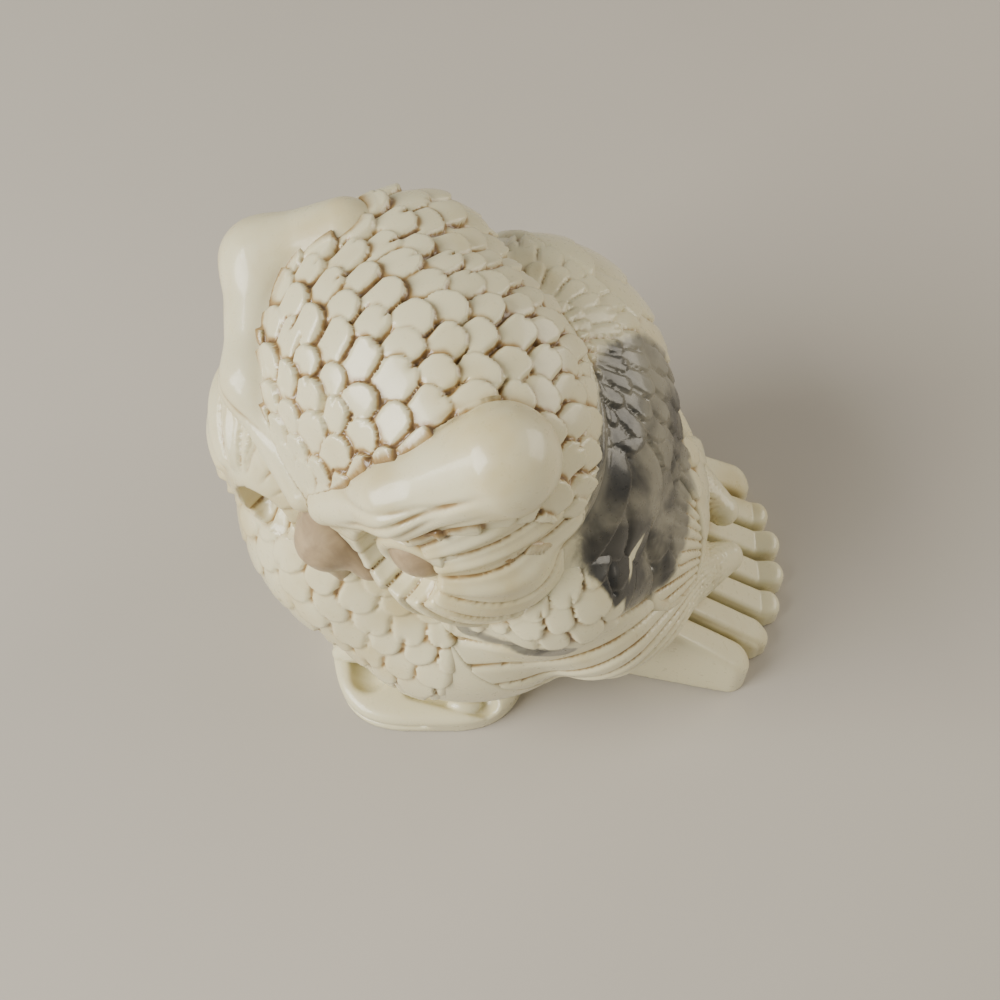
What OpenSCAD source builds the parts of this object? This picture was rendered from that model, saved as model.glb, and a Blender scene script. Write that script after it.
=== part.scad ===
// Owl figurine: a perched horned owl with its head turned over its left wing.
// The owl faces -Y, its left side is +X, and it rests on Z = 0.

/* [Head] */
// Turn of the head towards the owl's left wing, degrees
head_turn = 45; // [30:1:55]
// Nod of the head, degrees (positive lowers the beak)
head_nod = 11; // [0:1:14]
// Width of the skull between the ears
head_w = 59; // [57:0.5:61]
// Depth of the skull from face to nape
head_d = 45.6; // [44.6:0.5:47.6]
// Height of the skull
head_h = 50; // [48:0.5:52]
// Height of the middle of the head above the table
head_z = 59.5; // [58:0.5:61]

/* [Face] */
// Distance of the left ear tuft from the middle of the head
tuft_reach = 23.2; // [22.2:0.5:25.2]
// Height of the ear tufts above the middle of the head
tuft_rise = 19.3; // [18.3:0.5:20.8]
// Radius of the rounded end of an ear tuft
tuft_r = 7.3; // [6.8:0.25:7.8]
// Radius of the brow beside the beak
brow_r = 2.7; // [2.4:0.1:3]
// Radius of an eyeball
eye_r = 4.8; // [4.4:0.1:5]
// Distance of the left eye from the middle of the face
eye_gap = 13.5; // [13:0.25:14]
// How far the beak hangs below its root
beak_len = 15; // [13:0.5:16.5]

/* [Body] */
// Width of the breast and wings together
body_w = 62; // [60:0.5:64]
// How far the breast bulges in front of the body axis
breast_reach = 46; // [44.5:0.5:47]
// Thickness of the carved feather layers
layer_t = 1.6; // [1.2:0.1:2.2]

/* [Tail] */
// How far the tail reaches behind the body axis
tail_reach = 46.5; // [44:0.5:49]
// Width of the tail fan
tail_w = 44; // [42:0.5:46]
// Thickness of a tail feather
tail_t = 5; // [4:0.25:6]

/* [Base] */
// Width of the base
base_w = 59; // [52:1:60]
// Depth of the base
base_d = 36; // [33:1:40]
// Height of the base
base_h = 5; // [4:0.25:6]

/* [Hidden] */
// Smoothness of the big masses, and of the small beads that the trims are made of
$fn = 28;
fine = 18;
left = 1;
right = -1;
// Shift that puts the origin under the middle of the figure
centre_x = 1.58;
centre_y = -0.13;
// Lean of the head to one side, degrees
head_lean = -7;
head_at = [0.9, -8.8, head_z];
tail_count = 7;
// The skull, and the two lobes that square off its crown, measured in the head
skull_at = [-3.3, -4.5, 1];
skull_size = [head_w, head_d, head_h] / 2;
left_lobe_at = [12, -8, 8];
left_lobe_size = [12.5, 13.5, 13.5];
right_lobe_at = [-15.5, 2, 8.5];
right_lobe_size = [14, 17.5, 15];
right_lobe_turn = [0, 0, -15];
// The face is carved unevenly. Each side is given on its own, with X outwards
disc_size = [15.5, 12, 16.5];
disc_turn = [0, 10, 25];
left_disc_at = [12, -14.5, -5.5];
right_disc_at = [17, -19.8, -3.4];
left_eye_at = [eye_gap, -19.3, 2.2];
right_eye_at = [eye_gap - 1, -24, 1];
lid_r = 1.3;
lid_out = 2.2;
lid_turn = [90, 0, 22];
// Beads along each brow, from beside the beak to the ear tuft: [place, radius]
left_brow_beads = [
    [[2.6, -25, 8.2], brow_r],
    [[13.5, -18.5, 14.5], brow_r + 2.3],
    [[tuft_reach, -7.5, tuft_rise], tuft_r]];
right_brow_beads = [
    [[2.3, -26, 7], brow_r - 0.3],
    [[15.5, -19.5, 15], brow_r + 2.1],
    [[tuft_reach + 3.3, -6.8, tuft_rise + 0.2], tuft_r - 1.5],
    [[19, 3, 21], tuft_r - 2.3]];
// Beads down the ridge of the beak, and down one of its cheeks
beak_ridge = [
    [[0, -24, 5], 3.4],
    [[0, -27.6, -1.5], 4.3],
    [[0.3, -29, 5 - beak_len], 1.5]];
beak_cheek = [
    [[2, -26, 0], 3.5],
    [[5, -25.2, -5.5], 3.2]];
// The body's masses: shoulders, breast, belly and rump
shoulders_at = [-4, 0, 47];
shoulders_size = [31, 23, 23];
breast_size = [27, 25, 23];
breast_at = [-1, breast_size[1] - breast_reach - 0.2, 33];
belly_at = [1, -9, 24];
belly_size = [body_w / 2, 28, 24];
rump_at = [0, 10, 30];
rump_size = [26, 19, 23];
rump_turn = [30, 0, 0];
// Where each feather layer lies on the body
breast_layer_at = [0, -28, 28];
breast_layer_size = [38, 28, 25];
mantle_layer_at = [-4, 24, 50];
mantle_layer_size = [40, 34, 36];
// Left wing: two masses of the folded wing, its tip, and the blade that it lays over the back
wing_turn = [-20, 0, 8];
wing_top_at = [21, 3, 37];
wing_top_size = [9.5, 16, 14];
wing_low_at = [18.5, 9, 26];
wing_low_size = [9.5, 16, 11.5];
wing_tip_at = [4.5, 34, 17.5];
wing_tip_r = 2.8;
blade_at = [23, 12, 42];
blade_size = [22, 24, 25];
blade_turn = [-25, 0, 0];
left_covert_at = [21.5, 4, 43];
right_covert_at = [25.5, 4, 42];
covert_size = [9.5, 12, 11];
covert_turn = [-25, 0, 8];
// Band round the neck seam that the ruff covers, measured in the head
ruff_turn = [-12, 0, 0];
ruff_low = -7;
ruff_front = -4;
ruff_tall = 4;
// Toes: how far out the middle one is, and how the three spread
toe_out = 11;
toe_spread = [3, 5, 5.6];
trough_depth = 1.4;
// How deep a tail feather's root sits in the rump, and how the fan's end curves
tail_root_y = 20;
tail_root_z = 17.5;
tail_shift = 0.9;
tail_bow = 0.019;
// Spacing of the feathers in widths, how far the roots draw in, and a feather's half width
tail_spacing = 1.02;
tail_draw_in = 0.95;
tail_half = 0.56;
tail_waist = 0.8;
// The dish round an eye: how much larger than the eye it is, and how far out and up it reaches
dish_grow = [1.6, 1.3];
dish_low = [0, -6, 0];
dish_high = [2, -8.5, 4];
// Back edge of the base, and how square its rounded outline is (2 is an oval)
base_back = 1.5;
base_squareness = 3.5;
base_points = 72;
wall = 200;

// ---------- shared shapes ----------

// An ellipsoid given by its middle and its three radii
module ellipsoid(at, radii, turn = [0, 0, 0]) {
    translate(at)
        rotate(turn)
            scale(radii)
                sphere(1);
}

// Joins and trims its children into one carved surface
module carved() {
    resize([0, 0, 0])
        children();
}

// Puts a shape on one side of the middle plane
module on_side(side) {
    mirror([side == left ? 0 : 1, 0, 0])
        children();
}

// Moves a shape from the body's own axis to the middle of the figure
module in_figure() {
    translate([centre_x, centre_y, 0])
        children();
}

// Moves a shape from the head's own axes to its place on the body
module in_head() {
    translate(head_at)
        rotate([0, 0, head_turn])
            rotate([head_nod, 0, 0])
                rotate([0, head_lean, 0])
                    children();
}

// A chain of rounded beads, each [place, radius], skinned pair by pair
module bead_chain(beads) {
    for (i = [0 : len(beads) - 2])
        hull()
            for (bead = [beads[i], beads[i + 1]])
                translate(bead[0])
                    sphere(bead[1], $fn = fine);
}

// ---------- body masses, each drawn once and grown by a skin ----------

// The body under its feather layers, which are layer_t thick

module body_mass(skin = 0) {
    grow = [1, 1, 1] * (skin - layer_t);
    ellipsoid(shoulders_at, shoulders_size + grow);
    ellipsoid(breast_at, breast_size + grow);
    ellipsoid(belly_at, belly_size + grow);
    ellipsoid(rump_at, rump_size + grow, rump_turn);
}

// Skull with a flat crown that fills the space between the ear tufts
module skull_mass(skin = 0) {
    grow = [skin, skin, skin];
    in_head() {
        ellipsoid(skull_at, skull_size + grow);
        ellipsoid(left_lobe_at, left_lobe_size + grow);
        ellipsoid(right_lobe_at, right_lobe_size + grow, right_lobe_turn);
    }
}

function eye_at(side) = side == left ? left_eye_at : right_eye_at;

// The dish that each eye sits in
module eye_hollow(side) {
    in_head()
        on_side(side)
            hull() {
                translate(eye_at(side) + dish_low)
                    sphere(eye_r + dish_grow[0]);
                translate(eye_at(side) + dish_high)
                    sphere(eye_r + dish_grow[1]);
            }
}

module wing_mass(side) {
    on_side(side)
        hull() {
            ellipsoid(wing_top_at, wing_top_size, wing_turn);
            ellipsoid(wing_low_at, wing_low_size, wing_turn);
            translate(wing_tip_at)
                sphere(wing_tip_r, $fn = fine);
        }
}

// The part of the back that the folded wing lies over
module blade_region(side) {
    on_side(side)
        ellipsoid(blade_at, blade_size, blade_turn);
}

module covert_mass(side) {
    on_side(side)
        ellipsoid(side == left ? left_covert_at : right_covert_at, covert_size, covert_turn);
}

// Point of a rounded oblong with the given half sizes, at an angle
function oblong(rx, ry, n, angle) = [
    rx * sign(cos(angle)) * pow(abs(cos(angle)), 2 / n),
    ry * sign(sin(angle)) * pow(abs(sin(angle)), 2 / n)];

module base_mass() {
    step = 360 / base_points;
    translate([0, base_back - base_d / 2, 0])
        linear_extrude(base_h)
            polygon([for (i = [0 : base_points - 1])
                oblong(base_w / 2, base_d / 2, base_squareness, (i + 0.5) * step)]);
}

// Everything above the base and the table
module above(height) {
    translate([-wall / 2, -wall / 2, height])
        cube(wall);
}

// ---------- tail ----------

tail_step = tail_w / (tail_count + 0.35);
tail_mid = (tail_count + 1) / 2;

// Feathers lie side by side: x of a feather's axis at its end
function tail_x(i) = (i - tail_mid) * tail_step * tail_spacing + tail_shift;
// How far back a feather reaches: the fan's end is a shallow arc
function tail_y(i) = tail_reach - tail_bow * pow(tail_x(i) + 1.5, 2);

// One long rounded feather, sloping from the rump down to the table
module tail_slat(i) {
    tip_r = tail_step * tail_half;
    end_y = tail_y(i) - tip_r;
    root_x = tail_x(i) * tail_draw_in;
    hull() {
        translate([tail_x(i), end_y, 0])
            cylinder(r = tip_r, h = tail_t - 2);
        ellipsoid([tail_x(i), end_y, tail_t - 2], [tip_r - 0.6, tip_r, 2.4]);
        ellipsoid([root_x, tail_root_y, tail_root_z], [tip_r * tail_waist, 3, 4]);
        translate([root_x, tail_root_y - 2, 0])
            cylinder(r = tip_r * tail_waist, h = tail_t);
    }
}

module tail_feather(i) {
    color(abs(i - tail_mid) == 1 ? "ivory" : "antiquewhite")
        in_figure()
            carved()
                difference() {
                    tail_slat(i);
                    for (j = [1 : tail_count])
                        if (abs(j - tail_mid) < abs(i - tail_mid))
                            tail_slat(j);
                    body_mass();
                    wing_mass(left);
                    wing_mass(right);
                    base_mass();
                }
}

// ---------- head ----------

module brow_mass(side) {
    in_head()
        on_side(side)
            bead_chain(side == left ? left_brow_beads : right_brow_beads);
}

// Facial disc: a cushion dished round the eye
module disc_mass(side) {
    in_head()
        on_side(side)
            ellipsoid(side == left ? left_disc_at : right_disc_at, disc_size, disc_turn);
}

module beak_mass() {
    in_head() {
        bead_chain(beak_ridge);
        for (side = [left, right])
            on_side(side)
                bead_chain(beak_cheek);
    }
}

module eye_ball(side) {
    in_head()
        on_side(side)
            translate(eye_at(side))
                sphere(eye_r);
}

// Ring of the two eyelids round an eyeball, on an axis that looks out of the face
module lid_ring(side) {
    in_head()
        on_side(side)
            translate(eye_at(side))
                rotate(lid_turn)
                    translate([0, 0, lid_out])
                        rotate_extrude()
                            translate([eye_r - 0.2, 0])
                                circle(lid_r, $fn = 12);
}

// ---------- nodes ----------

module base() {
    color("linen")
        in_figure()
            difference() {
                base_mass();
                // Shallow trough that the toes stand in
                translate([0, base_back - base_d * 0.62, base_h - trough_depth])
                    cylinder(r = base_d * 0.3, h = base_h);
            }
}

module torso() {
    color("ivory")
        in_figure()
            carved()
                difference() {
                    intersection() {
                        body_mass();
                        above(base_h - trough_depth);
                    }
                    skull_mass();
                    base_mass();
                }
}

module breast_feathers() {
    color("floralwhite")
        in_figure()
            carved()
                difference() {
                    intersection() {
                        body_mass(layer_t);
                        ellipsoid(breast_layer_at, breast_layer_size);
                    }
                    body_mass();
                    skull_mass();
                    for (side = [left, right]) {
                        wing_mass(side);
                        blade_region(side);
                        covert_mass(side);
                        disc_mass(side);
                    }
                    beak_mass();
                }
}

module mantle_feathers() {
    color("gainsboro")
        in_figure()
            carved()
                difference() {
                    intersection() {
                        body_mass(layer_t);
                        ellipsoid(mantle_layer_at, mantle_layer_size);
                    }
                    body_mass();
                    skull_mass(layer_t);
                    ellipsoid(breast_layer_at, breast_layer_size);
                    for (side = [left, right]) {
                        wing_mass(side);
                        blade_region(side);
                        covert_mass(side);
                    }
                }
}

module wing(side) {
    color(side == left ? "darkgray" : "ivory")
        in_figure()
            carved()
                difference() {
                    union() {
                        wing_mass(side);
                        difference() {
                            intersection() {
                                body_mass(layer_t);
                                blade_region(side);
                            }
                            covert_mass(side);
                        }
                    }
                    if (side == right)
                        wing_mass(left);
                    body_mass();
                    skull_mass(layer_t);
                }
}

module wing_coverts(side) {
    color(side == left ? "whitesmoke" : "ivory")
        in_figure()
            carved()
                difference() {
                    covert_mass(side);
                    wing_mass(side);
                    body_mass();
                    skull_mass(layer_t);
                    disc_mass(side);
                    brow_mass(side);
                }
}

// Beads of one toe, from under the belly to the front edge of the base
function toe_beads(toe) = [
    [[toe_out + toe * toe_spread[0], -22, base_h + 3], 3.4],
    [[toe_out + toe * toe_spread[1], -29, base_h + 1.4], 2.8],
    [[toe_out + toe * toe_spread[2], -32, base_h - 0.4], 1.8]];

// Three toes that grip the base, each a thick knuckled finger
module foot(side) {
    color("navajowhite")
        in_figure()
            carved()
                difference() {
                    on_side(side)
                        for (toe = [-1 : 1])
                            bead_chain(toe_beads(toe));
                    body_mass(layer_t);
                    base();
                    below_trough();
                }
}

// Everything lower than the bottom of the trough in the base
module below_trough() {
    translate([-wall / 2, -wall / 2, base_h - trough_depth - wall])
        cube(wall);
}

module head() {
    color("ivory")
        in_figure()
            carved()
                difference() {
                    skull_mass();
                    for (side = [left, right]) {
                        eye_hollow(side);
                        eye_ball(side);
                    }
                }
}

module neck_ruff() {
    color("wheat")
        in_figure()
            carved()
                difference() {
                    intersection() {
                        skull_mass(layer_t);
                        in_head()
                            rotate(ruff_turn)
                                translate([-wall / 2, ruff_front, ruff_low])
                                    cube([wall, wall, ruff_tall]);
                    }
                    skull_mass();
                    brow_mass(left);
                    brow_mass(right);
                    disc_mass(left);
                    disc_mass(right);
                }
}

module brow(side) {
    color("white")
        in_figure()
            carved()
                difference() {
                    brow_mass(side);
                    skull_mass();
                    if (side == right)
                        brow_mass(left);
                }
}

module facial_disc(side) {
    color("whitesmoke")
        in_figure()
            carved()
                difference() {
                    disc_mass(side);
                    skull_mass();
                    brow_mass(left);
                    brow_mass(right);
                    body_mass();
                    eye_hollow(side);
                    beak_mass();
                    if (side == right)
                        disc_mass(left);
                }
}

module beak() {
    color("tan")
        in_figure()
            carved()
                difference() {
                    beak_mass();
                    skull_mass();
                    brow_mass(left);
                    brow_mass(right);
                }
}

module eye(side) {
    color("burlywood")
        in_figure()
            eye_ball(side);
}

module eyelids(side) {
    color("linen")
        in_figure()
            carved()
                difference() {
                    intersection() {
                        lid_ring(side);
                        eye_hollow(side);
                    }
                    eye_ball(side);
                    brow_mass(side);
                    beak_mass();
                }
}

base();
torso();
breast_feathers();
mantle_feathers();
wing(left);  // left_wing
wing(right);  // right_wing
wing_coverts(left);  // left_wing_coverts
wing_coverts(right);  // right_wing_coverts
foot(left);  // left_foot
foot(right);  // right_foot
for (i = [1 : tail_count])
    tail_feather(i);
head();
neck_ruff();
brow(left);  // left_brow
brow(right);  // right_brow
facial_disc(left);  // left_facial_disc
facial_disc(right);  // right_facial_disc
beak();
eye(left);  // left_eye
eye(right);  // right_eye
eyelids(left);  // left_eyelids
eyelids(right);  // right_eyelids
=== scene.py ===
"""Owl figurine in antiqued ivory resin with grey marbling.

Every piece is a closed skin grown from the same sculpted masses as the CAD model. Lengths are
millimetres in the owl's own axes (it faces -Y, its left is +X) until a mesh is made."""

import bpy
import numpy as np
import openvdb
from mathutils import Matrix, Vector


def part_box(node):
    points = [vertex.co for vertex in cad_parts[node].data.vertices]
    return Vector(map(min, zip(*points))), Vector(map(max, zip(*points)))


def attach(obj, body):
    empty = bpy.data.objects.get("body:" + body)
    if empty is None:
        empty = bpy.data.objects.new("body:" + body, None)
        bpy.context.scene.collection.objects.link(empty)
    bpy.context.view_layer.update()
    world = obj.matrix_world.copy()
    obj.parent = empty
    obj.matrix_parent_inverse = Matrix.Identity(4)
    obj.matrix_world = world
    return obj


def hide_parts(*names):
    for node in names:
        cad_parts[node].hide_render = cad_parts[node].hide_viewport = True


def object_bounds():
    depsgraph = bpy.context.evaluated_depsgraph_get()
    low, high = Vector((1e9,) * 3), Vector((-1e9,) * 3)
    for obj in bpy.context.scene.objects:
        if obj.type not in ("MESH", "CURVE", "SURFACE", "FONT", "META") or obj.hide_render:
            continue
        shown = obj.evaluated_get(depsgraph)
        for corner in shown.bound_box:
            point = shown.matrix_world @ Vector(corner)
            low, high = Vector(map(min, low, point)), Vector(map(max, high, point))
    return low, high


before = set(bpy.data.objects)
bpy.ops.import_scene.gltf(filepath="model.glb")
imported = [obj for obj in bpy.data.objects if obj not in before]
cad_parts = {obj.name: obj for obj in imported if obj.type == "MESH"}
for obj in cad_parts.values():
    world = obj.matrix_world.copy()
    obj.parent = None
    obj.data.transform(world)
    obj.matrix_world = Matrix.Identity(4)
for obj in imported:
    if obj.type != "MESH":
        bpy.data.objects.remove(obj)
cad_low, cad_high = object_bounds()

MM = 0.001
LEFT, RIGHT = 1, -1
SIDES = {"left": LEFT, "right": RIGHT}
TAIL_COUNT = 7


# ---------- where things are, from the CAD frame ----------

def corners(node):
    """Lowest and highest corner of a CAD node, in millimetres."""
    low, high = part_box(node)
    return np.array(low) / MM, np.array(high) / MM


def rotation(x, y, z):
    """Turn about X, then Y, then Z, in degrees, as a matrix."""
    a, b, c = np.radians([x, y, z])
    about_x = np.array([[1, 0, 0], [0, np.cos(a), -np.sin(a)], [0, np.sin(a), np.cos(a)]])
    about_y = np.array([[np.cos(b), 0, np.sin(b)], [0, 1, 0], [-np.sin(b), 0, np.cos(b)]])
    about_z = np.array([[np.cos(c), -np.sin(c), 0], [np.sin(c), np.cos(c), 0], [0, 0, 1]])
    return about_z @ about_y @ about_x


BASE_LOW, BASE_HIGH = corners("base")
BASE_BACK = 1.5
# The body's axis: the base is centred on it across, and ends just behind it
CENTRE = np.array([(BASE_LOW[0] + BASE_HIGH[0]) / 2, BASE_HIGH[1] - BASE_BACK, 0])
BASE_SIZE = BASE_HIGH - BASE_LOW
BASE_TOP = BASE_SIZE[2]
TROUGH_DEPTH = 1.4

# The head is turned over the left wing, nods and leans
HEAD_TURN, HEAD_NOD, HEAD_LEAN = 45, 11, -7
HEAD = rotation(0, 0, HEAD_TURN) @ rotation(HEAD_NOD, 0, 0) @ rotation(0, HEAD_LEAN, 0)
# Eyes, with +X outward. The right one sits further forward
EYES = {LEFT: np.array([13.5, -19.3, 2.2]), RIGHT: np.array([12.5, -24.0, 1.0])}
EYE_R = 4.8


def middle(node):
    low, high = corners(node)
    return (low + high) / 2 - CENTRE


HEAD_AT = middle("left_eye") - HEAD @ EYES[LEFT]


# ---------- the sculpted masses: sizes ----------

# Fillets: within the body or skull, where a wing or covert joins it, and within the face
FILLET, WING_FILLET, FACE_FILLET = 4, 1.5, 1.2
# The fillet in the neck seam, and the rounding of the dish round an eye
SEAM_FILLET, DISH_FILLET = 0.9, 0.8

# Each mass is (middle, radii) or (middle, radii, turn). These are the body's
SHOULDERS = ((-4, 0, 47), (31, 23, 23))
BREAST = ((-1, -21.2, 33), (27, 25, 23))
BELLY = ((1, -9, 24), (31, 28, 24))
RUMP = ((0, 10, 30), (26, 19, 23), (30, 0, 0))
# The left wing's, with +X outward on either side, and the beads of its long feathers
WING_TOP = ((21, 3, 37), (9.5, 16, 14), (-20, 0, 8))
WING_LOW = ((18.5, 9, 26), (9.5, 16, 11.5), (-20, 0, 8))
PRIMARIES = [[(19.5, 12, 27), 9.5], [(4.5, 34, 17.5), 2.8]]
COVERTS = {
    LEFT: ((21.5, 4, 43), (9.5, 12, 11), (-25, 0, 8)),
    RIGHT: ((27, 4, 42), (9.5, 12, 11), (-25, 0, 8)),
}
# The part of the back that the folded wing lies over, and what the two feather layers cover
BLADE = ((23, 12, 42), (22, 24, 25), (-25, 0, 0))
BREAST_LAYER = ((0, -28, 28), (38, 28, 25))
MANTLE_LAYER = ((-4, 24, 50), (40, 34, 36))

# The head's, measured in the head
SKULL_AT = np.array([-3.3, -4.5, 1])
SKULL = (SKULL_AT, (29.5, 22.8, 25))
LEFT_LOBE = ((12, -8, 8), (12.5, 13.5, 13.5))
RIGHT_LOBE = ((-15.5, 2, 8.5), (14, 17.5, 15), (0, 0, -15))
DISCS = {
    LEFT: ((12, -14.5, -5.5), (15.5, 12, 16.5), (0, 10, 25)),
    RIGHT: ((17, -19.8, -3.4), (15.5, 12, 16.5), (0, 10, 25)),
}
# The dish in front of each eye, as two balls measured from the eye
DISHES = {
    LEFT: [[(0, -6, 0), 6.8], [(3, -8.5, 6), 6.5]],
    RIGHT: [[(-1.5, -6, -3.5), 4.8], [(-1.5, -6, -1.5), 4.6]],
}
BEAK_RIDGE = [[(0, -24, 5), 3.4], [(0, -27.6, -1.5), 4.3], [(0.3, -29, -10), 1.5]]
BEAK_CHEEK = [[(2, -26, 0), 3.5], [(5, -25.2, -5.5), 3.2]]
# Beads along each brow, from beside the beak to the ear tuft, [place, radius]; +X is outward
BROWS = {
    LEFT: [[(2.6, -25, 8.2), 2.7], [(13.5, -18.5, 14.5), 5.0], [(23.2, -7.5, 19.3), 7.3]],
    RIGHT: [[(2.3, -26, 7), 2.4], [(15.5, -19.5, 15), 4.8], [(26.5, -6.8, 19.5), 5.8], [(19, 3, 21), 5]],
}


# ---------- fields: distance to a surface, negative inside ----------

def length(v):
    return np.sqrt(np.einsum("ij,ij->i", v, v))


def mixed(a, b, t):
    return a + (b - a) * t


def smoothstep(low, high, x):
    t = np.clip((x - low) / (high - low), 0, 1)
    return t * t * (3 - 2 * t)


def join(a, b, blend):
    """Union of two fields with a fillet."""
    t = np.clip(0.5 + 0.5 * (b - a) / blend, 0, 1)
    return mixed(b, a, t) - blend * t * (1 - t)


def cut(a, b, blend):
    """First field less the second, with a rounded edge."""
    return -join(-a, b, blend)


def common(a, b, blend):
    return -join(-a, -b, blend)


def ellipsoid(p, at, radii, turn=(0, 0, 0)):
    radii = np.asarray(radii, float)
    q = (p - np.asarray(at, float)) @ rotation(*turn)
    near = length(q / radii)
    slope = length(q / radii ** 2)
    return near * (near - 1) / np.maximum(slope, 1e-6)


def limb(p, a, b, r_a, r_b):
    """Straight limb between two balls."""
    a, b = np.asarray(a, float), np.asarray(b, float)
    along = b - a
    t = np.clip((p - a) @ along / (along @ along), 0, 1)
    return length(p - a - t[:, None] * along) - mixed(r_a, r_b, t)


def chain(p, beads, blend):
    """Limbs from bead to bead, each bead [place, radius]."""
    field = None
    for (a, r_a), (b, r_b) in zip(beads[:-1], beads[1:]):
        one = limb(p, a, b, r_a, r_b)
        field = one if field is None else join(field, one, blend)
    return field


def many(p, parts, blend):
    field = None
    for part in parts:
        one = ellipsoid(p, *part)
        field = one if field is None else join(field, one, blend)
    return field


def to_head(p):
    return (p - HEAD_AT) @ HEAD


def sided(q, side):
    return q * [side, 1, 1]


# ---------- the sculpted masses ----------

def body_mass(p):
    return many(p, [SHOULDERS, BREAST, BELLY, RUMP], FILLET)


def skull_mass(q):
    return many(q, [SKULL, LEFT_LOBE, RIGHT_LOBE], FILLET)


def wing_mass(p, side):
    m = sided(p, side)
    folded = many(m, [WING_TOP, WING_LOW], FILLET)
    return join(folded, chain(m, PRIMARIES, FILLET), 5)


def covert_mass(p, side):
    return ellipsoid(sided(p, side), *COVERTS[side])


def brow_mass(q, side):
    return chain(sided(q, side), BROWS[side], 3)


def disc_mass(q, side):
    return ellipsoid(sided(q, side), *DISCS[side])


def eye_dish(q, side):
    return chain(sided(q, side) - EYES[side], DISHES[side], FILLET)


def eye_mass(q, side):
    return ellipsoid(sided(q, side), EYES[side], (EYE_R, EYE_R, EYE_R))


def beak_mass(q):
    bill = chain(q, BEAK_RIDGE, 2)
    for side in SIDES.values():
        bill = join(bill, chain(sided(q, side), BEAK_CHEEK, FILLET), FACE_FILLET)
    return bill


# The band of the head that rims the neck seam: its width, and how far round it reaches the face
COLLAR_W = 3.4
COLLAR_FRONT = -8
# How far the disc's piece spreads over the skull beside it
DISC_SPREAD = 3.5


class Masses:
    """Every mass at some points, the skin that they share, and which mass each point is on."""

    def __init__(self, p):
        self.p = p
        self.q = to_head(p)
        self.torso = body_mass(p)
        self.head = skull_mass(self.q)
        self.sides = {}
        for name, side in SIDES.items():
            self.sides[name] = {
                "wing": wing_mass(p, side),
                "coverts": covert_mass(p, side),
                "disc": disc_mass(self.q, side),
                "brow": brow_mass(self.q, side),
                "dish": eye_dish(self.q, side),
            }
        wings = np.minimum(self.sides["left"]["wing"], self.sides["right"]["wing"])
        # Distance from the body, which is least in the neck seam
        self.neck = np.minimum(self.torso, wings)
        self.skin = self._skin()

    def _skin(self):
        body = self.torso
        head = self.head
        for one in self.sides.values():
            body = join(body, one["wing"], WING_FILLET)
            body = join(body, one["coverts"], WING_FILLET)
            head = join(head, one["disc"], FACE_FILLET)
        for one in self.sides.values():
            head = cut(head, one["dish"], DISH_FILLET)
        for one in self.sides.values():
            head = join(head, one["brow"], FACE_FILLET)
        return join(body, head, SEAM_FILLET)

    def all(self):
        found = {"torso": self.torso, "head": self.head}
        for name, one in self.sides.items():
            found[name + "_wing"] = one["wing"]
            found[name + "_wing_coverts"] = one["coverts"]
            found[name + "_facial_disc"] = one["disc"]
            found[name + "_brow"] = one["brow"]
        return found

    def zones(self):
        """For each piece of the shared skin, a field that is negative where the piece shows."""
        masses = self.all()
        names = list(masses)
        stack = np.array([masses[n] for n in names])
        order = np.sort(stack, axis=0)
        found = {}
        for name, one in zip(names, stack):
            others = np.where(one <= order[0], order[1], order[0])
            found[name] = one - others
        for name, side in SIDES.items():
            face = np.maximum(self.sides[name]["disc"] - DISC_SPREAD, found["head"])
            found[name + "_facial_disc"] = np.minimum(found[name + "_facial_disc"], face)
            found["head"] = np.maximum(found["head"], -face)
            blade = np.maximum(ellipsoid(sided(self.p, side), *BLADE), found["torso"])
            found[name + "_wing"] = np.minimum(found[name + "_wing"], blade)
            found["torso"] = np.maximum(found["torso"], -blade)
        breast = ellipsoid(self.p, *BREAST_LAYER)
        mantle = ellipsoid(self.p, *MANTLE_LAYER)
        collar = np.maximum(self.neck - COLLAR_W, COLLAR_FRONT - self.q[:, 1])
        torso, head = found["torso"], found["head"]
        found["breast_feathers"] = np.maximum(torso, breast)
        found["mantle_feathers"] = np.maximum(torso, np.maximum(mantle, -breast))
        found["torso"] = np.maximum(torso, np.maximum(-breast, -mantle))
        found["neck_ruff"] = np.maximum(head, collar)
        found["head"] = np.maximum(head, -collar)
        return found


# How steeply a piece dives under the skin where it doesn't show
SINK = 1.2


def skin_piece(name, thickness):
    """Field of one piece of the skin: it lies on the skin where it shows and dives where not."""
    def field(p):
        m = Masses(p)
        top = m.skin + SINK * np.maximum(m.zones()[name], 0)
        return np.maximum(top, -(m.skin + thickness))
    return field


def skin_depth(p):
    return Masses(p).skin


# ---------- carved detail: heights over the masses, in millimetres ----------

def chance(i, j, seed):
    """A fixed pseudo-random number from 0 to 1 for each lattice cell."""
    wave = np.sin(i * 127.1 + j * 311.7 + seed * 74.7) * 43758.5453
    return wave - np.floor(wave)


def wander(u, v, scale, seed):
    """Smooth waviness, about -1 to 1."""
    a = np.sin(u / scale + 1.3 * seed) * np.cos(v / scale * 1.17 - 0.7 * seed)
    b = np.sin((u + v) / scale * 2.3 + 2.1 * seed) * np.cos((u - v) / scale * 1.9 + seed)
    return 0.65 * a + 0.35 * b


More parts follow.
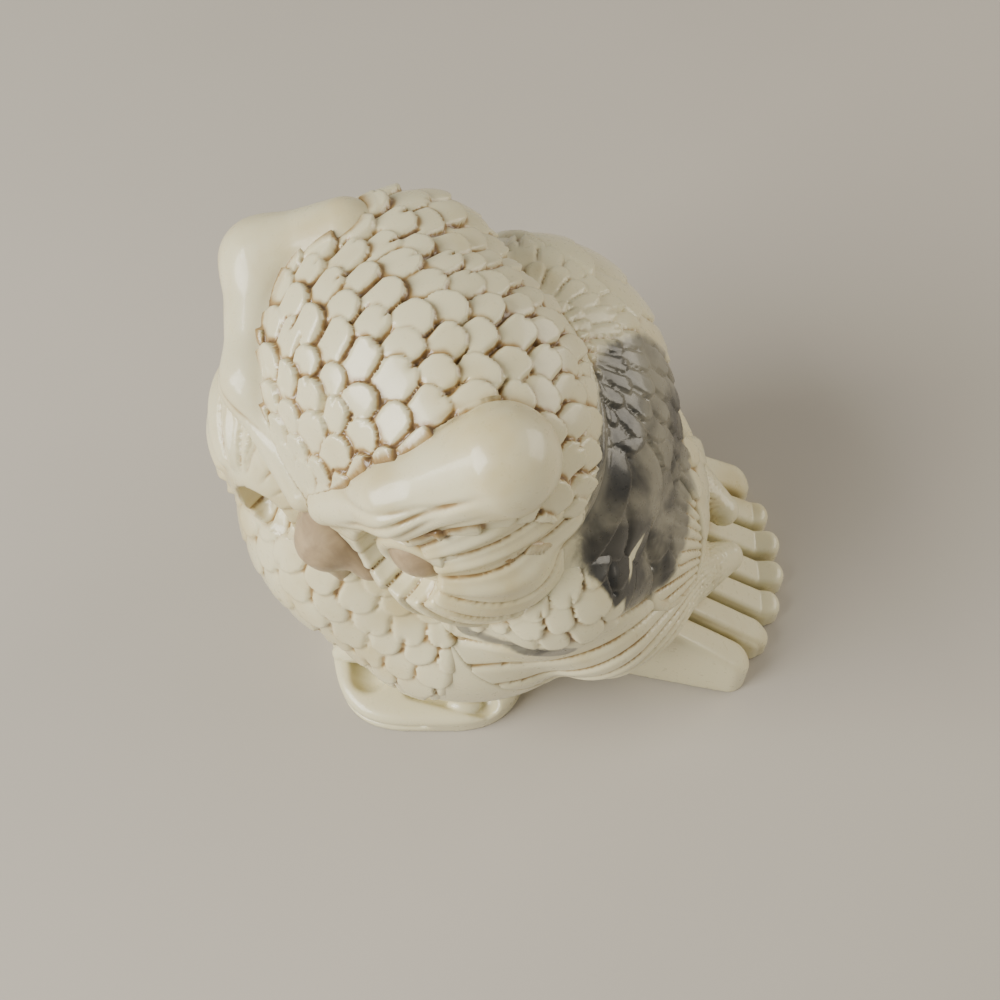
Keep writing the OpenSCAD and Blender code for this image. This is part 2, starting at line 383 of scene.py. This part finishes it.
def scales(u, v, width, pitch, tip, slot, seed, overlap=1.6, loose=0.2):
    """Overlapping scales on a staggered lattice, tips towards +v, with slots between them.

    A scale's rounded end stands tip high over the next row. Nearer its root it meets its
    neighbours, but for a slot here and there."""
    u = u + 0.7 * wander(u, v, 6, seed)
    v = v + 0.8 * wander(v, u, 7, seed + 3)
    height = np.zeros_like(u)
    cut_in = np.zeros_like(u)
    row0 = np.floor(v / pitch)
    half = width / 2
    for step in range(4):
        row = row0 + step
        shift = 0.5 * np.mod(row, 2) + 0.3 * chance(row, 0 * row, seed + 5)
        column = np.round(u / width - shift)
        r1, r2, r3, r4 = (chance(row, column, seed + k) for k in range(4))
        across = u - (column + shift) * width
        tip_at = row * pitch + (r1 - 0.5) * 2 * loose * pitch
        round_r = half * (0.8 + 0.2 * r2)
        arc_at = tip_at - round_r
        rim = round_r - np.hypot(across * round_r / half, np.maximum(v - arc_at, 0))
        rim += 0.7 * np.maximum(arc_at + 0.2 * round_r - v, 0)
        from_tip = tip_at - v
        rise = tip * (0.7 + 0.6 * r3) * (1 - from_tip / (overlap * pitch))
        rise += 0.4 * tip * (r4 - 0.5) * across / half
        rise = np.maximum(rise, 0) * smoothstep(0, 0.4, rim)
        rise -= 0.12 * tip * (across / half) ** 4
        height = np.maximum(height, np.where(rim > 0, rise, 0))
        wall = half - np.abs(across)
        window = smoothstep(0.3 * round_r, 0.9 * round_r, from_tip)
        window *= smoothstep(1.25 * pitch, 0.85 * pitch, from_tip)
        between = np.floor(u / width - shift + 0.5)
        depth = slot * smoothstep(0.3, 0.6, chance(row, between, seed + 9))
        cut_in = np.maximum(cut_in, depth * window * np.exp(-(wall / 0.42) ** 2))
    return height - cut_in


def crown_map(q):
    """The skull unrolled round its crown: across the head, and back towards the nape."""
    out = (q - SKULL_AT) / length(q - SKULL_AT)[:, None]
    lean, skull_r = 0.1, 26
    pole = np.array([0, -lean, 1]) / np.hypot(lean, 1)
    back = np.array([0, 1, lean]) / np.hypot(lean, 1)
    angle = np.arccos(np.clip(out @ pole, -1, 1))
    spread = skull_r * angle / np.maximum(np.sin(angle), 1e-3)
    return spread * out[:, 0], spread * (out @ back)


def carve_head(m):
    u, v = crown_map(m.q)
    calm = smoothstep(-26, -19, m.q[:, 1])
    return calm * scales(u, v, 5.3, 4.4, 1.35, 0.95, 1)


# How far the deepest line beside the neck seam is from the body
SEAM_LINE = 1.9


def seam_level(m):
    return m.neck + 0.3 * wander(m.q[:, 0], m.q[:, 1], 6, 4)


def carve_ruff(m):
    """Thin lines that run side by side along the neck seam."""
    level = seam_level(m)
    height = 0.4 * smoothstep(0, 0.8, level)
    for line, depth in ((0.9, 0.5), (SEAM_LINE, 0.7), (3.1, 0.4)):
        height -= depth * np.exp(-((level - line) / 0.27) ** 2)
    return height


def eye_polar(q, side):
    """Angle round the eye from straight down, positive away from the beak, and the radius."""
    m = sided(q, side) - EYES[side]
    return np.degrees(np.arctan2(m[:, 0], -m[:, 2])), np.hypot(m[:, 0], m[:, 2])


def carve_disc(m, side):
    """Flat fan panels under the eye, which turn into soft combed feathers further out."""
    panel = 25
    angle, r = eye_polar(m.q, side)
    combed = smoothstep(35, 65, angle)
    phase = angle / panel + combed * 0.07 * (r - 6)
    cell = np.floor(phase)
    f = phase - cell
    lane = np.radians(panel) * r
    gap = np.minimum(f, 1 - f) * lane
    height = 0.7 * (f - 0.5) * (0.6 + 0.8 * chance(cell, 0 * cell, 5)) * (1 - 0.4 * combed)
    height -= 0.65 * (1 - 0.5 * combed) * np.exp(-(gap / 0.34) ** 2)
    height += 0.7 * combed * np.sin(f * np.pi) + 0.15 * combed * np.cos(f * 4 * np.pi)
    height *= mixed(0.3, 1, smoothstep(-75, -35, angle))
    return height * smoothstep(5.0, 7, r)


def carve_brow(m, side):
    """Long soft creases, each (start across the brow, depth, bend, how far it reaches)."""
    q = sided(m.q, side)
    low, tuft = (np.array(BROWS[side][k][0]) for k in (0, 2))
    along = (tuft - low) / np.linalg.norm(tuft - low)
    t = (q - low) @ along / np.linalg.norm(tuft - low)
    up = np.cross(along, [0, -1, 0])
    up = -up / np.linalg.norm(up)
    w = (q - low) @ up
    height = np.zeros_like(t)
    creases = [
        (0.2, 0.7, 0.6, 1.05),
        (2.4, 0.4, -2.5, 0.95),
        (-2.0, 0.45, 3.0, 0.85),
        (-4.2, 0.35, 2.0, 1.0),
    ]
    for start, depth, bend, reach in creases:
        line = start + bend * (t - 0.5) * 2
        window = smoothstep(0.1, 0.35, t) * smoothstep(reach, reach - 0.3, t)
        height -= depth * window * np.exp(-((w - line) / 0.55) ** 2)
    return height


def globe_map(p, at, size, facing):
    """Unrolled round a vertical axis, with its seam opposite facing: across, and down."""
    o = p - np.asarray(at, float)
    turn = np.arctan2(o[:, 0], facing * o[:, 1])
    fall = np.arctan2(np.hypot(o[:, 0], o[:, 1]), o[:, 2])
    return turn * size, fall * size


FORWARD, BACKWARD = -1, 1


def carve_breast(m):
    u, v = globe_map(m.p, (0, -7, 25.5), 26, FORWARD)
    calm = smoothstep(9, 17, m.p[:, 2])
    return calm * scales(u, v, 4.7, 3.7, 0.75, 0.5, 21)


def carve_mantle(m):
    u, v = globe_map(m.p, (0, 0, 40), 27, BACKWARD)
    calm = smoothstep(24, 36, m.p[:, 2])
    return calm * scales(u, v, 5.4, 5.0, 0.8, 0.5, 31)


def carve_coverts(m, side):
    p = sided(m.p, side)
    return scales(p[:, 1] + 0.3 * p[:, 2], -p[:, 2] + 0.25 * p[:, 1], 5.2, 4.8, 0.9, 0.6, 41)


def carve_wing(m, side):
    """Broad panels over the shoulder of the wing, then long feathers that draw in to its tip."""
    p = sided(m.p, side)
    turn = np.degrees(np.arctan2(p[:, 2] - 8, np.abs(p[:, 0])))
    back = np.clip(p[:, 1] / 34, -0.6, 1)
    low = mixed(22, 62, np.clip(back, 0, 1) ** 1.5)
    high = mixed(75, 70, np.clip(back, 0, 1))
    share = (turn - low) / (high - low)
    feathers = 7
    f = share * feathers - np.floor(share * feathers)
    lane = np.clip(3.2 - 2 * back, 0.9, 3.5)
    gap = np.minimum(f, 1 - f) * lane
    long_feathers = 0.35 * (f - 0.5) - 0.45 * np.exp(-(gap / 0.35) ** 2)
    long_feathers *= smoothstep(36, 28, p[:, 1])
    down = p[:, 1] * 0.8 - p[:, 2] * 0.6
    across = p[:, 0] * 0.85 + p[:, 2] * 0.4 + p[:, 1] * 0.3
    panels = scales(across, down, 6.2, 7.5, 1.0, 0.5, 51, overlap=1.3, loose=0.12)
    upper = smoothstep(0.42, 0.6, share) * smoothstep(0.8, 0.55, back)
    return mixed(long_feathers, panels, upper)


def plain(m):
    return 0.12 * wander(m.p[:, 0], m.p[:, 2], 5, 2)


# ---------- pieces with a body of their own ----------

def beak_field(p):
    return beak_mass(to_head(p))


def eye_field(side):
    return lambda p: eye_mass(to_head(p), side)


def lid_field(side):
    """Soft ring round an eyeball, on an axis that looks out of the face."""
    turn = rotation(90, 0, 22)
    ring_r, out, thick = EYE_R - 0.2, 2.2, 1.2

    def field(p):
        o = (sided(to_head(p), side) - EYES[side]) @ turn
        ring = np.hypot(o[:, 0], o[:, 1]) - ring_r
        return np.hypot(ring, o[:, 2] - out) - thick
    return field


def toe_beads(toe, side):
    out = 11
    return [[(side * (out + toe * 3), -22, BASE_TOP + 3), 3.4],
            [(side * (out + toe * 5), -29, BASE_TOP + 1.4), 2.8],
            [(side * (out + toe * 5.6), -32, BASE_TOP - 0.4), 1.8]]


def foot_field(side):
    def field(p):
        toes = [chain(p, toe_beads(toe, side), 1.5) for toe in (-1, 0, 1)]
        foot = join(join(toes[0], toes[1], 0.7), toes[2], 0.7)
        return np.maximum(foot, BASE_TOP - TROUGH_DEPTH + 0.2 - p[:, 2])
    return field


def base_field(p):
    """Rounded slab with a trough for the toes, and on each side a dish, a slot and an undercut."""
    mid = BASE_BACK - BASE_SIZE[1] / 2
    x, y = np.abs(p[:, 0]), np.abs(p[:, 1] - mid)
    half_x, half_y = BASE_SIZE[0] / 2, BASE_SIZE[1] / 2
    square = 3.5
    reach = ((x / half_x) ** square + (y / half_y) ** square) ** (1 / square)
    side = (reach - 1) * np.minimum(half_x, half_y)
    slab = common(side, p[:, 2] - BASE_TOP, 1.6)
    trough_y = BASE_BACK - BASE_SIZE[1] * 0.62
    ring = np.hypot(p[:, 0], p[:, 1] - trough_y) - BASE_SIZE[1] * 0.3
    slab = cut(slab, np.maximum(ring, BASE_TOP - TROUGH_DEPTH - p[:, 2]), 0.8)
    m = np.column_stack([x, p[:, 1], p[:, 2]])
    dish = limb(m, (17, -27, BASE_TOP + 1.5), (21, -27, BASE_TOP + 1.5), 4.2, 3.6)
    slot = limb(m, (23.5, -19, BASE_TOP + 0.2), (26.3, -7, BASE_TOP + 0.2), 1.9, 2.3)
    slab = cut(cut(slab, dish, 0.8), slot, 0.7)
    slab = join(slab, ellipsoid(m, (26, -10.5, BASE_TOP - 1.2), (1.7, 2.9, 1.6)), 0.5)
    undercut = np.maximum(np.abs(p[:, 2] - 1.9 - 0.05 * (p[:, 1] + 25)) - 0.5, -1.3 - side)
    undercut += 0.35 * np.maximum(np.abs(p[:, 1] + 25) - 7, 0)
    return np.maximum(cut(slab, undercut, 0.5), -p[:, 2])


TAIL_LOW, TAIL_HIGH = corners("tail_feather_4")
TAIL_TIP = (TAIL_HIGH - CENTRE)[1]
TAIL_W = 44
TAIL_STEP = TAIL_W / (TAIL_COUNT + 0.35)
TAIL_PITCH = TAIL_STEP * 1.02
TAIL_SHIFT = 0.9
# Where the feathers' roots are, how far they draw in, and how the fan's end curves
TAIL_ROOT_Y = 18
TAIL_DRAW_IN = 0.85
TAIL_BOW = 0.019
# Height of a feather's top at its root and at its end
ROOT_TOP, END_TOP = 22.5, 5.2


def tail_field(i):
    """One long rounded slat, sloping from the rump down to the table."""
    x_tip = (i - (TAIL_COUNT + 1) / 2) * TAIL_PITCH + TAIL_SHIFT
    y_tip = TAIL_TIP - TAIL_BOW * (x_tip + 1.5) ** 2
    half = TAIL_STEP * 0.5
    root = np.array([x_tip * TAIL_DRAW_IN, TAIL_ROOT_Y])
    end = np.array([x_tip, y_tip - half])
    axis = (end - root) / np.linalg.norm(end - root)

    def field(p):
        o = p[:, :2] - root
        along = o @ axis
        t = np.clip(along / np.linalg.norm(end - root), 0, 1)
        across = o - np.outer(np.clip(along, 0, np.linalg.norm(end - root)), axis)
        plan = length(across) - mixed(0.8, 1.0, t) * half
        level = mixed(ROOT_TOP, END_TOP, np.clip((p[:, 1] - 20) / 21.5, -0.2, 1))
        top = (p[:, 2] - level) * 0.78
        return np.maximum(common(plan, top, 1.8), -p[:, 2])
    return field


def carve_tail(m):
    """Deepens the grooves between the slats."""
    t = np.clip((m.p[:, 1] - TAIL_ROOT_Y) / (TAIL_TIP - TAIL_ROOT_Y), 0, 1)
    slat = (m.p[:, 0] / mixed(TAIL_DRAW_IN, 1, t) - TAIL_SHIFT) / TAIL_PITCH + 0.5
    gap = np.abs(slat - np.round(slat)) * TAIL_PITCH
    outer = smoothstep(TAIL_COUNT / 2 - 0.1, TAIL_COUNT / 2 - 0.3, np.abs(slat - 0.5))
    groove = 0.45 * np.exp(-(gap / 0.7) ** 2) * outer
    return 0.1 * wander(m.p[:, 0] * 3, m.p[:, 1], 6, 7) - groove


# ---------- meshing ----------

def sampled(field, points):
    """A field at many points, worked out in blocks to save memory."""
    block = 150000
    return np.concatenate([field(points[i:i + block]) for i in range(0, len(points), block)])


def gradient(field, p, at_p):
    step = 0.04
    slope = np.empty_like(p)
    for axis in range(3):
        moved = p.copy()
        moved[:, axis] += step
        slope[:, axis] = (sampled(field, moved) - at_p) / step
    return slope


def coarse_skin(field, low, high, cell):
    """Quads round the zero level of a field inside a box, from a grid of cells."""
    count = np.ceil((high - low) / cell).astype(int) + 3
    axes = [low[k] + cell * (np.arange(count[k]) - 1) for k in range(3)]
    grid = np.stack(np.meshgrid(*axes, indexing="ij"), -1).reshape(-1, 3)
    values = sampled(field, grid).reshape(count)
    values = np.clip(values, -3 * cell, 3 * cell).astype(np.float32)
    for axis in range(3):
        rim = np.moveaxis(values, axis, 0)
        rim[0] = rim[-1] = cell
    volume = openvdb.FloatGrid(1.0)
    volume.copyFromArray(values)
    points, quads = volume.convertToQuads(0.0)
    return np.asarray(points, float) * cell + low - cell, np.asarray(quads)


def object_from(name, points, faces):
    mesh = bpy.data.meshes.new(name)
    mesh.from_pydata(points.tolist(), [], faces.tolist())
    mesh.validate()
    piece = bpy.data.objects.new(name, mesh)
    bpy.context.scene.collection.objects.link(piece)
    return piece


def subdivide(piece, levels):
    piece.modifiers.new("Subdivision", "SUBSURF").levels = levels
    done = bpy.data.meshes.new_from_object(piece.evaluated_get(bpy.context.evaluated_depsgraph_get()))
    piece.modifiers.clear()
    piece.data = done
    done.name = piece.name


def read_points(piece):
    co = np.empty(len(piece.data.vertices) * 3)
    piece.data.vertices.foreach_get("co", co)
    return co.reshape(-1, 3)


def write_points(piece, p):
    p[:, 2] = np.maximum(p[:, 2], 0)
    piece.data.vertices.foreach_set("co", ((p + CENTRE) * MM).ravel())
    piece.data.update()


def settle(field, p, rounds=3):
    """Moves points onto a field's zero level, and returns them with their normals."""
    for _ in range(rounds):
        at_p = sampled(field, p)
        slope = gradient(field, p, at_p)
        size = np.maximum(length(slope), 0.3)
        step = np.clip(at_p / size, -0.8, 0.8)
        p = p - slope * (step / size)[:, None]
    slope = gradient(field, p, sampled(field, p))
    return p, slope / np.maximum(length(slope), 1e-6)[:, None]


def neighbour_mean(piece, values, rounds):
    """Values averaged over each point's neighbours, several times."""
    edges = np.empty(len(piece.data.edges) * 2, int)
    piece.data.edges.foreach_get("vertices", edges)
    a, b = edges.reshape(-1, 2).T
    n = len(values)
    degree = np.maximum(np.bincount(a, minlength=n) + np.bincount(b, minlength=n), 1)
    for _ in range(rounds):
        total = np.bincount(a, values[b], n) + np.bincount(b, values[a], n)
        values = 0.5 * values + 0.5 * total / degree
    return values


def store(piece, name, values):
    data = piece.data.attributes.new(name, "FLOAT", "POINT")
    data.data.foreach_set("value", values.astype(np.float32))


def crease(p, normals):
    """How closely the surface is hemmed in by its surroundings, 0 open to 1 in a crease."""
    reaches = (1.2, 3.0)
    hemmed = np.zeros(len(p))
    for reach in reaches:
        out = sampled(skin_depth, p + normals * reach)
        hemmed += np.clip(1 - out / reach, 0, 1) / len(reaches)
    return hemmed


def marbling(m):
    """Where the grey marble lies: over the left wing and shoulder, and in the neck seam."""
    p = m.p
    back = ellipsoid(p, (10, 17, 53), (21, 15, 18), (0, 35, 0))
    band = limb(p, (27, -9, 41), (31, 6, 37), 1.6, 1.8)
    patch = ellipsoid(p, (30, 4, 45), (9, 8, 8.5))
    streak = limb(p, (26, 12.5, 44), (15, 17, 50), 1.3, 0.3)
    grey = smoothstep(3, -4, back) * smoothstep(-0.5, 1.5, patch)
    grey = np.maximum(grey, smoothstep(1.5, -0.5, band))
    seam = np.exp(-((seam_level(m) - SEAM_LINE) / 0.35) ** 2)
    seam *= smoothstep(-8, -2, m.q[:, 1]) * smoothstep(1.0, 0.2, np.abs(m.head))
    grey = np.maximum(grey, 0.75 * seam)
    return grey * smoothstep(-0.4, 0.5, streak)


# Passes of averaging that a recess is judged against, and the depth that counts as a full one
RECESS_ROUNDS = 24
FULL_RECESS = 0.45


def sculpt(name, field, carve, cell, low, high, own=False):
    """Makes one piece: coarse quads, subdivided, settled on the field, then carved.

    A piece of the shared skin is carved only where it shows. One with a body of its own is
    carved all over."""
    points, quads = coarse_skin(field, low, high, cell)
    piece = object_from(name, points, quads)
    subdivide(piece, 1)
    p, normals = settle(field, read_points(piece))
    masses = Masses(p)
    height = carve(masses)
    shown = np.ones(len(p)) if own else smoothstep(-1.3, -0.25, masses.skin)
    height = height * shown
    around = neighbour_mean(piece, height, RECESS_ROUNDS)
    store(piece, "recess", np.clip((around - height) / FULL_RECESS, 0, 1))
    store(piece, "crease", crease(p, normals))
    store(piece, "marble", marbling(masses))
    write_points(piece, p + normals * height[:, None])
    for face in piece.data.polygons:
        face.use_smooth = True
    return piece


# ---------- materials ----------

def new_material(name):
    material = bpy.data.materials.new(name)
    material.use_nodes = True
    tree = material.node_tree
    return material, tree, tree.nodes["Principled BSDF"]


def link(tree, source, target):
    tree.links.new(source, target)


def attribute(tree, name):
    node = tree.nodes.new("ShaderNodeAttribute")
    node.attribute_name = name
    return node.outputs["Fac"]


def noise(tree, size_mm, detail=4, rough=0.55, warp=0.0):
    """Noise whose features are about size_mm across."""
    place = tree.nodes.new("ShaderNodeTexCoord")
    node = tree.nodes.new("ShaderNodeTexNoise")
    node.inputs["Scale"].default_value = 1 / (size_mm * MM)
    node.inputs["Detail"].default_value = detail
    node.inputs["Roughness"].default_value = rough
    node.inputs["Distortion"].default_value = warp
    link(tree, place.outputs["Object"], node.inputs["Vector"])
    return node.outputs["Fac"]


def sums(tree, kind, a, b):
    node = tree.nodes.new("ShaderNodeMath")
    node.operation = kind
    for slot, value in zip(node.inputs, (a, b)):
        if isinstance(value, (int, float)):
            slot.default_value = value
        else:
            link(tree, value, slot)
    return node.outputs[0]


def ranged(tree, value, low, high, to_low=0.0, to_high=1.0):
    node = tree.nodes.new("ShaderNodeMapRange")
    node.interpolation_type = "SMOOTHSTEP"
    link(tree, value, node.inputs["Value"])
    ends = {"From Min": low, "From Max": high, "To Min": to_low, "To Max": to_high}
    for name, number in ends.items():
        node.inputs[name].default_value = number
    return node.outputs["Result"]


def blend_colour(tree, share, under, over):
    node = tree.nodes.new("ShaderNodeMix")
    node.data_type = "RGBA"
    link(tree, share, node.inputs["Factor"])
    for slot, colour in ((node.inputs[6], under), (node.inputs[7], over)):
        if isinstance(colour, tuple):
            slot.default_value = (*colour, 1)
        else:
            link(tree, colour, slot)
    return node.outputs[2]


def bump(tree, shader, height, strength, distance_mm):
    node = tree.nodes.new("ShaderNodeBump")
    node.inputs["Strength"].default_value = strength
    node.inputs["Distance"].default_value = distance_mm * MM
    link(tree, height, node.inputs["Height"])
    link(tree, node.outputs["Normal"], shader.inputs["Normal"])


PALE = (0.74, 0.68, 0.44)
CREAM = (0.62, 0.52, 0.27)
WASH = (0.36, 0.23, 0.085)
DARK_WASH = (0.20, 0.115, 0.045)
ASH = (0.25, 0.23, 0.17)
CHARCOAL = (0.03, 0.028, 0.022)
TAN = (0.29, 0.205, 0.115)
LIGHT_TAN = (0.42, 0.31, 0.18)
DARK_TAN = (0.16, 0.10, 0.055)
FLOOR_DARK = (0.46, 0.42, 0.36)
FLOOR_LIGHT = (0.49, 0.45, 0.39)


def resin(name, wash, pale, marbled):
    """Glossy cast resin with brown antiquing in the hollows and, if marbled, grey clouds.

    wash is how strongly the brown shows, and pale how white the open surface is, both 0 to 1."""
    material, tree, shader = new_material(name)
    clouds = ranged(tree, noise(tree, 14, 3), 0.62 - 0.35 * pale, 0.95 - 0.35 * pale)
    colour = blend_colour(tree, clouds, PALE, CREAM)
    creased = sums(tree, "MULTIPLY", attribute(tree, "crease"), 0.7)
    hollow = sums(tree, "ADD", attribute(tree, "recess"), creased)
    patchy = ranged(tree, noise(tree, 9, 4), 0.3, 0.65, 0.25, 1.25)
    antique = sums(tree, "MULTIPLY", sums(tree, "MULTIPLY", hollow, patchy), wash)
    colour = blend_colour(tree, ranged(tree, antique, 0.03, 0.7), colour, WASH)
    colour = blend_colour(tree, ranged(tree, antique, 0.6, 1.2), colour, DARK_WASH)
    if marbled:
        swirl = sums(tree, "MULTIPLY", sums(tree, "SUBTRACT", noise(tree, 7, 5, 0.6, 1.4), 0.5), 0.9)
        grey = sums(tree, "ADD", attribute(tree, "marble"), swirl)
        depth = ranged(tree, noise(tree, 11, 4, 0.5, 0.8), 0.35, 0.62)
        stone = blend_colour(tree, depth, CHARCOAL, ASH)
        colour = blend_colour(tree, ranged(tree, grey, 0.3, 0.78), colour, stone)
    link(tree, colour, shader.inputs["Base Color"])
    grain = noise(tree, 1.1, 5, 0.6)
    link(tree, ranged(tree, grain, 0.3, 0.75, 0.26, 0.42), shader.inputs["Roughness"])
    shader.inputs["Subsurface Weight"].default_value = 0.12
    shader.inputs["Subsurface Radius"].default_value = (1.0, 0.75, 0.45)
    shader.inputs["Subsurface Scale"].default_value = 1.6 * MM
    shader.inputs["Coat Weight"].default_value = 0.45
    shader.inputs["Coat Roughness"].default_value = 0.1
    shader.inputs["IOR"].default_value = 1.5
    bump(tree, shader, noise(tree, 1.8, 6, 0.6), 0.25, 0.12)
    return material


def tan_resin(name):
    """The brown-washed beak and eyes: smoother, streaked and a little translucent, with painted shade
    darkening their creases.
    """
    material, tree, shader = new_material(name)
    streaks = ranged(tree, noise(tree, 5, 4, 0.6, 0.6), 0.3, 0.7)
    colour = blend_colour(tree, streaks, TAN, LIGHT_TAN)
    # Painted shade: darker tan where the surface is hemmed in by its surroundings
    crease_shade = ranged(tree, attribute(tree, "crease"), 0.25, 0.9)
    colour = blend_colour(tree, crease_shade, colour, DARK_TAN)
    link(tree, colour, shader.inputs["Base Color"])
    link(tree, ranged(tree, noise(tree, 1.5), 0.3, 0.7, 0.35, 0.5), shader.inputs["Roughness"])
    shader.inputs["Subsurface Weight"].default_value = 0.15
    shader.inputs["Subsurface Radius"].default_value = (1.0, 0.75, 0.45)
    shader.inputs["Subsurface Scale"].default_value = 1.6 * MM
    shader.inputs["Coat Weight"].default_value = 0.25
    shader.inputs["Coat Roughness"].default_value = 0.15
    bump(tree, shader, noise(tree, 1.4, 5, 0.6), 0.2, 0.1)
    return material


# ---------- the pieces ----------

OWL_LOW = np.array(cad_low) / MM - CENTRE
OWL_HIGH = np.array(cad_high) / MM - CENTRE


def room_for(field):
    """The part of the owl's box that a piece fills, found on a coarse grid of points."""
    step, near = 3.0, 4.0
    axes = [np.arange(OWL_LOW[k] - 1, OWL_HIGH[k] + step, step) for k in range(3)]
    grid = np.stack(np.meshgrid(*axes, indexing="ij"), -1).reshape(-1, 3)
    found = grid[sampled(field, grid) < near]
    low = np.maximum(found.min(axis=0), OWL_LOW - 1)
    high = np.minimum(found.max(axis=0), OWL_HIGH + 1)
    low[2] = max(low[2], 0)
    return low, high


def finish_piece(piece, node, slot, material):
    piece.data.materials.append(material)
    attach(piece, "root")
    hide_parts(node)
    return piece


# Grid cells: of the skin, of the crown's finer scales as a share of it, and of small pieces
FINE = 0.75
CROWN_SHARE = 0.85
SMALL = 0.5
# A thickness that leaves a piece of the skin solid all through
SOLID = 1e3


def build_owl():
    ivory = resin("ivory_resin", 0.9, 0.7, True)
    crown = resin("crown_resin", 1.5, 0.25, True)
    body = resin("body_resin", 0.8, 0.35, True)
    stand = resin("base_resin", 0.9, 0.1, False)
    tan = tan_resin("tan_resin")

    def skin(node, carve, thickness, slot, material, cell=FINE):
        field = skin_piece(node, thickness)
        piece = sculpt(node + "_sculpt", field, carve, cell, *room_for(field))
        finish_piece(piece, node, slot, material)

    def own(node, field, carve, slot, material, cell=SMALL):
        piece = sculpt(node + "_sculpt", field, carve, cell, *room_for(field), own=True)
        finish_piece(piece, node, slot, material)

    skin("torso", plain, SOLID, "ivory_resin", body)
    skin("breast_feathers", carve_breast, 4, "ivory_resin", ivory)
    skin("mantle_feathers", carve_mantle, 4, "grey_marbled_resin", body)
    skin("head", carve_head, SOLID, "ivory_resin", crown, cell=FINE * CROWN_SHARE)
    skin("neck_ruff", carve_ruff, 3, "ivory_resin", body)
    for name, side in SIDES.items():
        skin(name + "_wing", lambda m, s=side: carve_wing(m, s), 5,
             "grey_marbled_resin" if side == LEFT else "ivory_resin", body)
        skin(name + "_wing_coverts", lambda m, s=side: carve_coverts(m, s), 4, "ivory_resin", body)
        skin(name + "_facial_disc", lambda m, s=side: carve_disc(m, s), 6, "ivory_resin", ivory)
        skin(name + "_brow", lambda m, s=side: carve_brow(m, s), 7, "ivory_resin", ivory)
        own(name + "_eye", eye_field(side), plain, "tan_resin", tan)
        own(name + "_eyelids", lid_field(side), plain, "ivory_resin", ivory)
        own(name + "_foot", foot_field(side), plain, "base_resin", stand)
    own("beak", beak_field, plain, "tan_resin", tan)
    own("base", base_field, plain, "base_resin", stand, cell=FINE)
    for i in range(1, TAIL_COUNT + 1):
        own("tail_feather_%d" % i, tail_field(i), carve_tail, "ivory_resin", body, cell=FINE)


# ---------- studio ----------

def camera():
    """Looks down on the owl's left side from 60 degrees above the table."""
    height, turn, roll = np.radians([60, 93, -2.7])
    distance = 247
    aim = CENTRE + [-16.7, -5.0, 0]
    right = np.array([np.cos(turn), np.sin(turn), 0])
    away = np.array([-np.sin(turn), np.cos(turn), 0])
    forward = away * np.cos(height) - np.array([0, 0, np.sin(height)])
    up = away * np.sin(height) + np.array([0, 0, np.cos(height)])
    x = right * np.cos(roll) + up * np.sin(roll)
    y = up * np.cos(roll) - right * np.sin(roll)
    data = bpy.data.cameras.new("camera")
    data.sensor_width = 36
    data.lens = 46.8
    data.clip_start = 0.01
    seat = bpy.data.objects.new("camera", data)
    axes = np.column_stack([x, y, -forward])
    place = Matrix.Translation((aim - forward * distance) * MM)
    seat.matrix_world = place @ Matrix(axes.tolist()).to_4x4()
    bpy.context.scene.collection.objects.link(seat)
    bpy.context.scene.camera = seat


def light(name, at, aim, size, power, colour):
    data = bpy.data.lights.new(name, "AREA")
    data.shape = "RECTANGLE"
    data.size, data.size_y = size
    data.energy = power
    data.color = colour
    lamp = bpy.data.objects.new(name, data)
    lamp.location = at
    lamp.rotation_euler = (Vector(aim) - Vector(at)).to_track_quat("-Z", "Y").to_euler()
    bpy.context.scene.collection.objects.link(lamp)


def studio():
    mesh = bpy.data.meshes.new("floor")
    reach = 1.5
    square = [(-reach, -reach, 0), (reach, -reach, 0), (reach, reach, 0), (-reach, reach, 0)]
    mesh.from_pydata(square, [], [(0, 1, 2, 3)])
    floor = bpy.data.objects.new("floor", mesh)
    bpy.context.scene.collection.objects.link(floor)
    material, tree, shader = new_material("floor_paper")
    shade = blend_colour(tree, noise(tree, 60, 3), FLOOR_DARK, FLOOR_LIGHT)
    link(tree, shade, shader.inputs["Base Color"])
    shader.inputs["Roughness"].default_value = 0.75
    mesh.materials.append(material)
    world = bpy.data.worlds.new("studio")
    world.use_nodes = True
    world.node_tree.nodes["Background"].inputs["Color"].default_value = (0.86, 0.86, 0.84, 1)
    world.node_tree.nodes["Background"].inputs["Strength"].default_value = 0.35
    bpy.context.scene.world = world
    light("window", (0.25, -0.55, 0.45), (0, 0, 0.04), (0.5, 0.5), 9.0, (1.0, 0.985, 0.93))
    light("room", (-0.15, 0.6, 0.35), (0, 0, 0.04), (0.6, 0.4), 2.8, (1.0, 0.92, 0.78))


camera()
build_owl()
studio()
